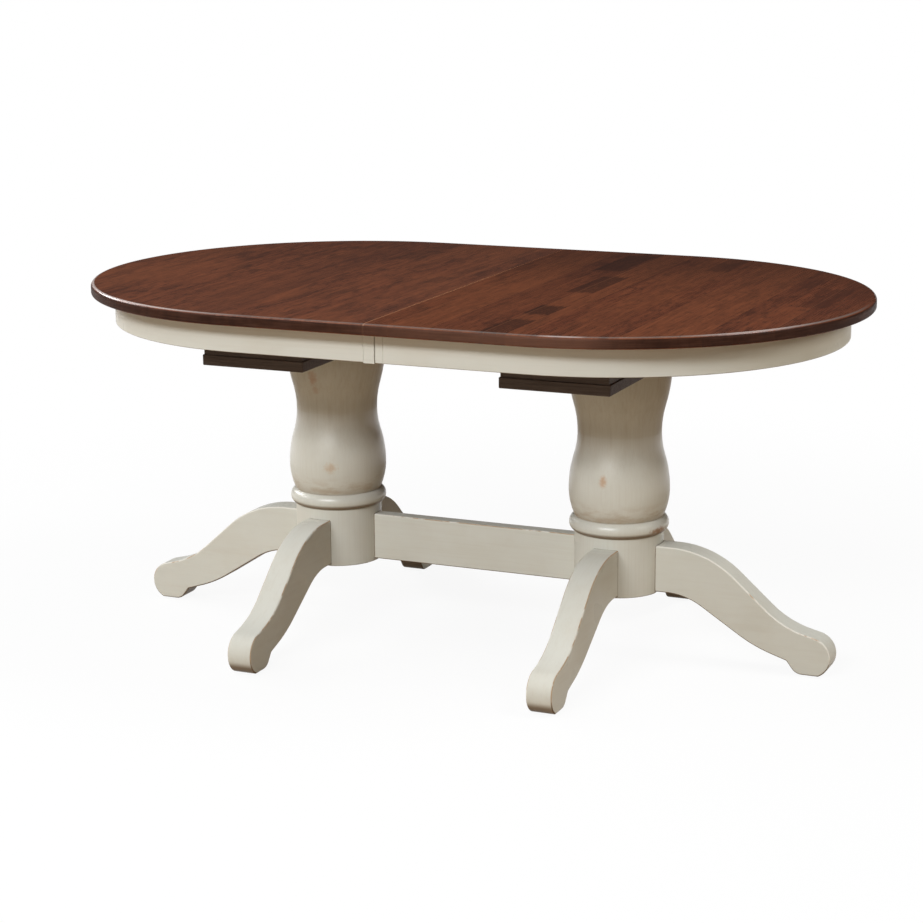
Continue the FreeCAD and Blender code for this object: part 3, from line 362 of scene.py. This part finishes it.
def paint_rim_highlight(tree, parts, upright, colour):
    """The colour with a painted grey reflection along the front of the rim of the top, and a pale painted
    highlight near both ends and at one glint right of the middle.
    """
    on_rim = reckon(tree, "MULTIPLY", band(tree, upright, 0.70, 0.84, 0.985, 0.998),
                    ease(tree, parts["Y"], 0.08, -0.10))
    left_end = band(tree, parts["X"], -0.86, -0.74, -0.56, -0.22)
    right_end = band(tree, parts["X"], 0.58, 0.70, 0.72, 0.82)
    right_of_middle = band(tree, parts["X"], 0.34, 0.38, 0.41, 0.45)
    on_right_half = reckon(tree, "MAXIMUM", right_end, right_of_middle)
    pale_highlight = reckon(tree, "MAXIMUM", share(tree, left_end, 0.75), share(tree, on_right_half, 0.45))
    # Painted reflection: the rim grey along the front; then a pale painted highlight near both ends and at
    # one glint.
    colour = lay(tree, on_rim, 0.5, colour, RIM_REFLECTION_GREY)
    return tint(tree, reckon(tree, "MULTIPLY", on_rim, pale_highlight), colour, RIM_HIGHLIGHT)


def stained_staves(name, seed, sheen_amount, even_shade, back_shade, dark_staves):
    """Staves glued side by side with the grain along the seam, stained reddish brown under satin lacquer.

    The sheen amount is a pale painted sheen on the upward faces, and painted shade darkens the top evenly and
    more towards the back."""
    material, tree, shader, place, normal = new_finish(
        name, IOR=1.45, Specular_IOR_Level=0.03, Coat_IOR=1.5, Coat_Roughness=0.22)
    parts = split(tree, place)
    upright = split(tree, normal)["Z"]

    # Staves of uneven width, each with its own tone and grain
    across = reckon(tree, "DIVIDE", parts["X"], STAVE_WIDTH)
    across = lift(tree, across, reckon(tree, "SINE", share(tree, across, 2.33)), 0.2)
    stave = reckon(tree, "FLOOR", across)
    tone = chance(tree, stave, seed, 5.0)
    shift = share(tree, stave, 7.31)
    own_place = reckon_vector(tree, "ADD", place, joined(tree, Y=shift))
    grain = use_group(tree, WOOD_GRAIN, {"Place": place, "Stretch": (300.0, 6.0, 90.0), "Seed": shift})
    broad = use_group(tree, WOOD_GRAIN, {"Place": place, "Stretch": (55.0, 3.5, 30.0), "Seed": shift})
    figure = noise(tree, scaled(tree, own_place, 30.0, 8.0, 20.0), 1.0, 5.0, 0.68)
    mottle = noise(tree, scaled(tree, own_place, 80.0, 26.0, 30.0), 1.0, 4.0, 0.65)
    sweep = noise(tree, scaled(tree, place, 5.0, 2.2, 3.0), 1.0, 3.0, 0.55)
    flecks = noise(tree, scaled(tree, place, 330.0, 26.0, 60.0), 1.0, 2.0, 0.5)
    pale_joint = ease(tree, chance(tree, reckon(tree, "ROUND", across), seed, 2.0), 0.55, 0.75)
    from_joint = reckon(tree, "PINGPONG", across, 0.5)
    joint = reckon(tree, "MULTIPLY", ease(tree, from_joint, 0.018, 0.006), pale_joint)

    # Stain
    colour = tint(tree, broad["Streaks"], DARK_STREAK, LIGHT_STREAK)
    colour = lay(tree, ease(tree, figure, 0.48, 0.66), 0.66, colour, FIGURE_STAIN)
    colour = lay(tree, ease(tree, mottle, 0.48, 0.66), 0.50, colour, MOTTLE_STAIN)
    colour = lay(tree, ease(tree, sweep, 0.45, 0.68), 0.35, colour, WARM_STAIN)
    colour = lay(tree, ease(tree, tone, 0.55, 1.0), 0.36, colour, DARKER_STAVE)
    colour = lay(tree, ease(tree, tone, 0.40, 0.0), 0.28, colour, PALER_STAVE)
    for low, high, depth in dark_staves:
        patch = use_group(tree, STAVE_PATCH, {"Place": place, "Low": low + (0.0,), "High": high + (0.0,)})
        colour = lay(tree, patch["Mask"], depth, colour, DARK_PATCH)
    colour = lay(tree, grain["Streaks"], 0.42, colour, GRAIN_STAIN)
    colour = lay(tree, grain["Pores"], 0.40, colour, PORE_STAIN)
    colour = lay(tree, ease(tree, flecks, 0.70, 0.77), 0.35, colour, PALE_FLECK)
    colour = lay(tree, joint, 0.22, colour, PALE_JOINT)

    # Seam, edge with its painted sheen, painted shade, painted sheen on top, and painted highlight on the rim
    by_seam = ease(tree, reckon(tree, "ABSOLUTE", parts["X"]), 0.0024, 0.0010)
    seam_light = lift(tree, 0.22, ease(tree, parts["Y"], 0.36, 0.02), 0.53)
    colour = tint(tree, reckon(tree, "MULTIPLY", by_seam, seam_light), colour, PALE_SEAM)
    on_edge = ease(tree, reckon(tree, "ABSOLUTE", upright), 0.72, 0.50)
    colour = lay(tree, on_edge, 0.92, colour, edge_of_top(tree, place, parts["X"], figure))
    # Painted shade: the top darkened evenly and more towards the back.
    shade_cover = lift(tree, even_shade, ease(tree, parts["Y"], -0.05, 0.45), back_shade)
    colour = tint(tree, shade_cover, colour, PAINTED_BACK_SHADE)
    # Painted sheen: a pale haze laid on the upward faces of the top.
    colour = lay(tree, ease(tree, upright, 0.90, 0.99), sheen_amount, colour, PAINTED_TOP_SHEEN)
    colour = paint_rim_highlight(tree, parts, upright, colour)

    give(tree, shader, "Base Color", colour)
    give(tree, shader, "Roughness", lift(tree, 0.36, grain["Streaks"], 0.12))
    give(tree, shader, "Coat Weight", share(tree, ease(tree, upright, 0.55, 0.74), 0.9))
    raise_surface(tree, shader, reckon(tree, "SUBTRACT", grain["Height"], share(tree, joint, 0.5)), 0.00012)
    return material


def cream_paint(name, stretch, seed, strokes, polish, polish_roughness, polished_from):
    """Cream paint under a brushed glaze, polished where it faces up, with painted shade on faces that look
    down, and what a piece's marks need.
    """
    material, tree, shader, place, normal = new_finish(
        name, IOR=1.45, Specular_IOR_Level=0.03, Coat_IOR=1.6, Coat_Roughness=polish_roughness)
    glaze = use_group(tree, BRUSHED_GLAZE, {"Place": place, "Stretch": stretch, "Seed": seed})
    colour = lay(tree, glaze["Clouds"], 0.20, CREAM, CLOUDED_CREAM)
    colour = lay(tree, glaze["Strokes"], strokes, colour, GLAZE)
    lean = split(tree, normal)["Z"]
    # Painted shade: faces that look down darkened to deep brown.
    colour = lay(tree, ease(tree, lean, -0.22, -0.60), 0.80, colour, DARK_GLAZE_AND_SHADE)
    facing_up = ease(tree, lean, polished_from, polished_from + 0.24)
    give(tree, shader, "Roughness", lift(tree, 0.27, glaze["Clouds"], 0.10))
    give(tree, shader, "Coat Weight", share(tree, facing_up, polish))
    raise_surface(tree, shader, glaze["Height"], 0.00003)
    return material, tree, shader, place, normal, colour


def column_paint(name, axis_x, seed, spots):
    """Paint of a turned column, with glaze at the foot of the vase, glaze and painted shade on its neck, and
    glaze and painted shade in its grooves.
    """
    material, tree, shader, place, _, colour = cream_paint(
        name, (260.0, 260.0, 3.0), seed, strokes=0.10, polish=1.0, polish_roughness=0.33, polished_from=-0.08)
    height = split(tree, place)["Z"]
    brushed = use_group(tree, BRUSHED_GLAZE,
                        {"Place": place, "Stretch": (150.0, 150.0, 1.6), "Seed": seed + 5.0})
    # The neck: brushed glaze, darker still as painted shade under the top.
    neck = reckon(tree, "MULTIPLY", ease(tree, height, NECK_START, NECK_FULL),
                  lift(tree, 0.12, brushed["Strokes"], 0.14))
    colour = tint(tree, neck, colour, NECK_GLAZE_AND_SHADE)
    foot = band(tree, height, BEAD_TOP - 0.001, BEAD_TOP + 0.002, BEAD_TOP, BEAD_TOP + 0.050)
    smears = ease(tree, noise(tree, scaled(tree, place, 24.0, 24.0, 80.0), 1.0, 4.0, 0.6), 0.40, 0.66)
    smeared_foot = reckon(tree, "MULTIPLY", foot, lift(tree, 0.14, smears, 0.50))
    colour = tint(tree, smeared_foot, colour, GLAZE)
    # Glaze in the grooves beside the bead, darker also as painted shade.
    for level, reach, depth in ((BEAD_BOTTOM, 0.0024, 0.28), (BEAD_TOP, 0.0020, 0.25)):
        away = reckon(tree, "ABSOLUTE", reckon(tree, "SUBTRACT", height, level))
        colour = lay(tree, ease(tree, away, reach, 0.0004), depth, colour, DARK_GLAZE_AND_SHADE)
    for (degrees, level, radius), size, depth, shade, heart in spots:
        turn = math.radians(degrees)
        centre = (axis_x + radius * math.cos(turn), radius * math.sin(turn), level)
        spot = use_group(tree, RAGGED_SPOT, {"Place": place, "Centre": centre, "Size": size})
        colour = lay(tree, spot["Mask"], depth, colour, shade)
        colour = lay(tree, spot["Heart"], depth * 0.45, colour, heart)
    give(tree, shader, "Base Color", colour)
    return material


def board_paint(name, across, stretch, seed, edge_line_amount, bared):
    """Paint of a flat piece, with lines along its rounded edges and dark in the joint at the hub.

    The lines are a pale painted highlight, bare wood in bared shares, and painted shade where an edge looks
    down."""
    material, tree, shader, place, normal, colour = cream_paint(
        name, stretch, seed, strokes=0.09, polish=0.08, polish_roughness=0.5, polished_from=0.04)
    edge_lines = use_group(tree, EDGE_RUB_AND_HIGHLIGHT, {"Normal": normal, "Across": across, "Place": place, "Amount": edge_line_amount})
    # The pale lines along the rounded edges are a painted highlight, bare wood in places.
    to_wood = ease(tree, noise(tree, place, 22.0, 3.0, 0.6), 0.66 - 0.32 * bared, 0.78 - 0.32 * bared)
    line_colour = tint(tree, to_wood, EDGE_HIGHLIGHT, BARE_WOOD)
    # Painted shade: lines on edges that look down turn deep brown.
    shade_below = ease(tree, split(tree, normal)["Z"], -0.02, -0.30)
    line_colour = tint(tree, shade_below, line_colour, DARK_GLAZE_AND_SHADE)
    colour = lay(tree, edge_lines["Mask"], 0.80, colour, line_colour)
    parts = split(tree, place)
    from_pedestal = reckon(tree, "SUBTRACT", reckon(tree, "ABSOLUTE", parts["X"]), PEDESTAL_X)
    from_axis = reckon_vector(tree, "LENGTH", joined(tree, X=from_pedestal, Y=parts["Y"]))
    at_hub = ease(tree, from_axis, HUB_RADIUS + 0.0024, HUB_RADIUS + 0.0008)
    colour = lay(tree, at_hub, 0.75, colour, DARK_GLAZE_AND_SHADE)
    give(tree, shader, "Base Color", colour)
    return material


def plain_wood(name, light, dark, stretch, shine, roughness):
    """Board with straight grain in two tones."""
    material, tree, shader, place, _ = new_finish(name, IOR=1.45, Specular_IOR_Level=shine)
    grain = use_group(tree, WOOD_GRAIN, {"Place": place, "Stretch": stretch, "Seed": 3.0})
    colour = tint(tree, grain["Streaks"], light, dark)
    colour = lay(tree, grain["Pores"], 0.4, colour, dark)
    give(tree, shader, "Base Color", colour)
    give(tree, shader, "Roughness", lift(tree, roughness, grain["Streaks"], 0.12))
    raise_surface(tree, shader, grain["Height"], 0.0002)
    return material


def zinc_plate():
    """Zinc plated steel with a faint cloudy spangle."""
    material, tree, shader, place, _ = new_finish("zinc_plate", Metallic=1.0)
    cloud = noise(tree, place, 220.0, 3.0, 0.6)
    colour = tint(tree, ease(tree, cloud, 0.35, 0.7), ink(178, 180, 178), ink(206, 205, 196))
    give(tree, shader, "Base Color", colour)
    give(tree, shader, "Roughness", lift(tree, 0.28, cloud, 0.2))
    raise_surface(tree, shader, cloud, 0.00005)
    return material


def moulded_plastic(name, light, dark, roughness):
    """Plastic with a faint mottle and the fine grit of its mould."""
    material, tree, shader, place, _ = new_finish(name, IOR=1.5)
    mottle = noise(tree, place, 90.0, 4.0, 0.6)
    grit = noise(tree, place, 1500.0, 2.0, 0.5)
    give(tree, shader, "Base Color", tint(tree, ease(tree, mottle, 0.3, 0.75), light, dark))
    give(tree, shader, "Roughness", lift(tree, roughness, mottle, 0.15))
    raise_surface(tree, shader, grit, 0.00006)
    return material


# Spots on the columns: degrees, height and radius, then size, depth, shade and heart
LEFT_SPOTS = (
    ((-93.8, 0.5534, 0.092), (0.013, 0.030, 0.022), 0.45, ink(190, 144, 116), ink(176, 130, 102)),
    ((-92.1, 0.5270, 0.089), (0.010, 0.030, 0.011), 0.32, ink(186, 146, 118), ink(174, 130, 102)),
    ((-72.5, 0.3594, 0.105), (0.017, 0.030, 0.014), 0.55, KNOT, KNOT_HEART),
)
RIGHT_SPOTS = (
    ((-89.3, 0.3861, 0.104), (0.009, 0.030, 0.015), 0.75, ink(204, 168, 134), ink(190, 148, 110)),
    ((-18.0, 0.2770, 0.103), (0.030, 0.030, 0.008), 0.75, ink(156, 112, 78), ink(130, 88, 58)),
)

# Dark stretches of staves: low corner, high corner and depth
LEFT_DARK_STAVES = (
    ((-0.306, 0.25), (-0.246, 0.54), 0.40),
    ((-0.104, -0.04), (-0.062, 0.05), 0.35),
)
RIGHT_DARK_STAVES = (
    ((0.236, -0.54), (0.291, -0.375), 0.72),
    ((0.236, -0.320), (0.291, -0.210), 0.82),
    ((0.222, -0.045), (0.280, 0.180), 0.66),
    ((0.172, 0.250), (0.236, 0.490), 0.72),
    ((0.400, 0.320), (0.452, 0.540), 0.45),
    ((0.700, -0.060), (0.764, 0.180), 0.38),
)
ALONG_X, ALONG_Y, ALONG_Z = (1.0, 0.0, 0.0), (0.0, 1.0, 0.0), (0.0, 0.0, 1.0)
FINISHES = {
    "left_top_panel": stained_staves("left_top_stain", 1.0, sheen_amount=0.05, even_shade=0.0, back_shade=0.16,
                                     dark_staves=LEFT_DARK_STAVES),
    "right_top_panel": stained_staves("right_top_stain", 2.0, sheen_amount=0.01, even_shade=0.06, back_shade=0.40,
                                      dark_staves=RIGHT_DARK_STAVES),
    "left_column": column_paint("left_column_paint", -PEDESTAL_X, 1.0, LEFT_SPOTS),
    "right_column": column_paint("right_column_paint", PEDESTAL_X, 9.0, RIGHT_SPOTS),
    "end_leg": board_paint("end_leg_paint", ALONG_Y, (5.0, 120.0, 60.0), 2.0, edge_line_amount=0.75, bared=0.25),
    "side_leg": board_paint("side_leg_paint", ALONG_X, (120.0, 5.0, 60.0), 4.0, edge_line_amount=0.75, bared=0.85),
    "stretcher": board_paint("stretcher_paint", ALONG_Y, (4.0, 120.0, 120.0), 6.0, edge_line_amount=0.75, bared=0.80),
    "apron": board_paint("apron_paint", ALONG_Z, (5.0, 5.0, 120.0), 8.0, edge_line_amount=0.30, bared=0.50),
    "dark_board": plain_wood("espresso_board", ink(104, 92, 85), ink(82, 71, 65),
                             stretch=(8.0, 160.0, 300.0), shine=0.1, roughness=0.5),
    "hardwood": plain_wood("waxed_hardwood", ink(196, 160, 116), ink(168, 130, 88),
                           stretch=(5.0, 200.0, 200.0), shine=0.3, roughness=0.45),
    "steel": zinc_plate(),
    "nylon": moulded_plastic("nylon_gear", ink(220, 216, 204), ink(206, 200, 186), roughness=0.4),
    "glide": moulded_plastic("glide_plastic", ink(84, 74, 64), ink(66, 58, 50), roughness=0.5),
}


def finish_of(name):
    """The finish of a CAD piece by its name."""
    if name in FINISHES:
        return name
    if name.endswith("_end_leg"):
        return "end_leg"
    if name.endswith(("_front_leg", "_back_leg")):
        return "side_leg"
    if name.endswith(("_apron", "_apron_end_blocks")):
        return "apron"
    if name.endswith(("_pedestal_plate", "_slide_cleat")):
        return "dark_board"
    if name.endswith(("_rail", "_runner", "_glue_blocks")) or name == "alignment_pins":
        return "hardwood"
    if name.endswith(("_rack", "_pinion")):
        return "nylon"
    if name == "floor_glides":
        return "glide"
    return "steel"


def dress_pieces():
    """Gives each CAD piece its finish."""
    for name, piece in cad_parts.items():
        piece.data.materials.clear()
        piece.data.materials.append(FINISHES[finish_of(name)])


# Hubs

def add_round(points, faces, axis_x, degrees, seat, low, high, bottom):
    """One closed slice of a hub's round between a seat and the hub's outside, up to the bead.

    It reaches from side place low to high, and a little into the hub behind the seat."""
    turn = math.radians(degrees)
    out = Vector((math.cos(turn), math.sin(turn), 0.0))
    side = Vector((-math.sin(turn), math.cos(turn), 0.0))
    outline = []
    for step in range(ROUND_STEPS + 1):
        across = low + (high - low) * step / ROUND_STEPS
        outline.append((math.sqrt(HUB_RADIUS ** 2 - across ** 2), across))
    outline += [(seat - SEAT_OVERLAP, high), (seat - SEAT_OVERLAP, low)]
    count = len(outline)
    lower, upper = len(points), len(points) + count
    for level in (bottom, BEAD_BOTTOM):
        points += [Vector((axis_x, 0.0, level)) + out * reach + side * across for reach, across in outline]
    for i in range(count):
        after = (i + 1) % count
        faces.append((lower + i, lower + after, upper + after, upper + i))
    faces.append(tuple(lower + i for i in reversed(range(count))))
    faces.append(tuple(upper + i for i in range(count)))


def round_off_hubs():
    """The hubs' rounds over the legs and the stretcher, where the milled seats run on up to the bead."""
    stretcher_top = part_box("stretcher")[1][2] - BOARD_EDGE_ROUND
    for side_name, sign in (("left", -1), ("right", 1)):
        points, faces = [], []
        axis_x = sign * PEDESTAL_X
        outwards = 0.0 if sign > 0 else 180.0
        leg_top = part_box(side_name + "_end_leg")[1][2] - BOARD_EDGE_ROUND
        for degrees, shift in ((outwards, 0.0), (-90.0, sign * LEG_SHIFT), (90.0, -sign * LEG_SHIFT)):
            add_round(points, faces, axis_x, degrees, LEG_SEAT, shift - HALF_LEG, shift + HALF_LEG, leg_top)
        add_round(points, faces, axis_x, outwards + 180.0, STRETCHER_SEAT, -HALF_STRETCHER, HALF_STRETCHER,
                  stretcher_top)
        mesh = bpy.data.meshes.new(side_name + "_hub_rounds")
        mesh.from_pydata(points, [], faces, shade_flat=False)
        mesh.set_sharp_from_angle(angle=SHARP_EDGE)
        mesh.materials.append(FINISHES[side_name + "_column"])
        rounds = bpy.data.objects.new(side_name + "_hub_rounds", mesh)
        bpy.context.scene.collection.objects.link(rounds)
        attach(rounds, "base")


# Studio

STUDIO_MIDDLE = Vector((0.0, 0.0, 0.4))
WHITE = (1.0, 1.0, 1.0)
HALF_FLOOR = 200.0
FLOOR_SEEN, FLOOR_BOUNCE = (0.95, 0.95, 0.95, 1.0), ink(180, 158, 132)
SHADOW_SHARE = 0.08
WORLD_COLOUR, WORLD_STRENGTH = (1.0, 0.96, 0.90, 1.0), 0.02

# Lamps: name, azimuth, elevation, distance, width, height, watts and colour
SOFTBOXES = (
    ("key_softbox", -7, 30.5, 6.0, 3.0, 0.9, 148, (0.98, 0.99, 1.0)),
    ("front_softbox", 0, 35, 6.0, 3.0, 1.4, 56, (0.82, 0.91, 1.0)),
    ("fill_card", -4, 11, 6.0, 5.0, 2.0, 32, (1.0, 0.97, 0.86)),
    ("left_softbox", -88, 28, 6.0, 5.0, 1.2, 112, WHITE),
    ("high_left_softbox", -45, 50, 6.0, 2.2, 1.6, 58, WHITE),
    ("right_softbox", 84, 27, 2.4, 1.0, 0.6, 9.4, (1.0, 0.96, 0.88)),
    ("high_right_softbox", 100, 50, 6.0, 2.2, 1.4, 116, WHITE),
    ("rim_card", -108, 22, 6.0, 2.6, 0.9, 60, WHITE),
)


def make_floor():
    """Floor that looks white, keeps a soft shadow near the table and throws warm light back."""
    corners = [(x * HALF_FLOOR, y * HALF_FLOOR, 0) for x, y in ((-1, -1), (1, -1), (1, 1), (-1, 1))]
    mesh = bpy.data.meshes.new("floor")
    mesh.from_pydata(corners, [], [(0, 1, 2, 3)])
    floor = bpy.data.objects.new("floor", mesh)
    bpy.context.scene.collection.objects.link(floor)
    material, tree, shader, place, _ = new_finish("pale_floor", Roughness=0.9, Specular_IOR_Level=0.0)
    path = tree.nodes.new("ShaderNodeLightPath").outputs
    mirrored = reckon(tree, "MAXIMUM", path["Is Glossy Ray"], path["Is Transmission Ray"])
    seen = reckon(tree, "MAXIMUM", path["Is Camera Ray"], mirrored)
    give(tree, shader, "Base Color", tint(tree, seen, FLOOR_BOUNCE, FLOOR_SEEN))
    far = ease(tree, reckon_vector(tree, "LENGTH", place), 0.7, 2.6)
    white = reckon(tree, "MULTIPLY", seen, lift(tree, 1.0 - SHADOW_SHARE, far, SHADOW_SHARE))
    glow = place_node(tree, "ShaderNodeEmission", {"Color": (1, 1, 1, 1), "Strength": 1.0})
    mix = place_node(tree, "ShaderNodeMixShader", {0: white, 1: shader.outputs[0], 2: glow.outputs[0]})
    tree.links.new(mix.outputs[0], tree.nodes["Material Output"].inputs["Surface"])
    mesh.materials.append(material)


def add_softbox(name, azimuth, elevation, distance, width, height, watts, colour):
    """A soft lamp that looks at the middle of the table."""
    light = bpy.data.lights.new(name, "AREA")
    light.shape = "RECTANGLE"
    light.size = width
    light.size_y = height
    light.energy = watts
    light.color = colour
    lamp = bpy.data.objects.new(name, light)
    lamp.location = direction(azimuth, elevation) * distance + STUDIO_MIDDLE
    lamp.rotation_mode = "QUATERNION"
    lamp.rotation_quaternion = (STUDIO_MIDDLE - lamp.location).to_track_quat("-Z", "Y")
    bpy.context.scene.collection.objects.link(lamp)


def light_studio():
    """A broad key and a low fill in front, softer light from the left, lamps to the right that keep
    the far sides from going dark, and a card behind the left end for the rim."""
    for softbox in SOFTBOXES:
        add_softbox(*softbox)
    world = bpy.data.worlds.new("studio")
    world.use_nodes = True
    background = world.node_tree.nodes["Background"]
    background.inputs["Color"].default_value = WORLD_COLOUR
    background.inputs["Strength"].default_value = WORLD_STRENGTH
    bpy.context.scene.world = world


def set_camera():
    """The camera at the place and angle of the photograph."""
    back = direction(CAMERA_AZIMUTH, CAMERA_ELEVATION)
    right = direction(CAMERA_AZIMUTH + 90.0, 0.0)
    up = back.cross(right)
    turned_right = right * math.cos(CAMERA_ROLL) + up * math.sin(CAMERA_ROLL)
    turned_up = up * math.cos(CAMERA_ROLL) - right * math.sin(CAMERA_ROLL)
    data = bpy.data.cameras.new("photo_camera")
    data.sensor_width = SENSOR_WIDTH
    data.lens = SENSOR_WIDTH * FOCAL_LENGTH_IN_PIXELS / IMAGE_WIDTH_IN_PIXELS
    data.clip_end = CAMERA_REACH
    camera = bpy.data.objects.new("photo_camera", data)
    turn = Matrix((turned_right, turned_up, back)).transposed().to_4x4()
    camera.matrix_world = Matrix.Translation(CAMERA_TARGET + back * CAMERA_DISTANCE) @ turn
    bpy.context.scene.collection.objects.link(camera)
    bpy.context.scene.camera = camera


dress_pieces()
round_off_hubs()
make_floor()
light_studio()
set_camera()
bpy.context.scene.view_settings.view_transform = "Standard"
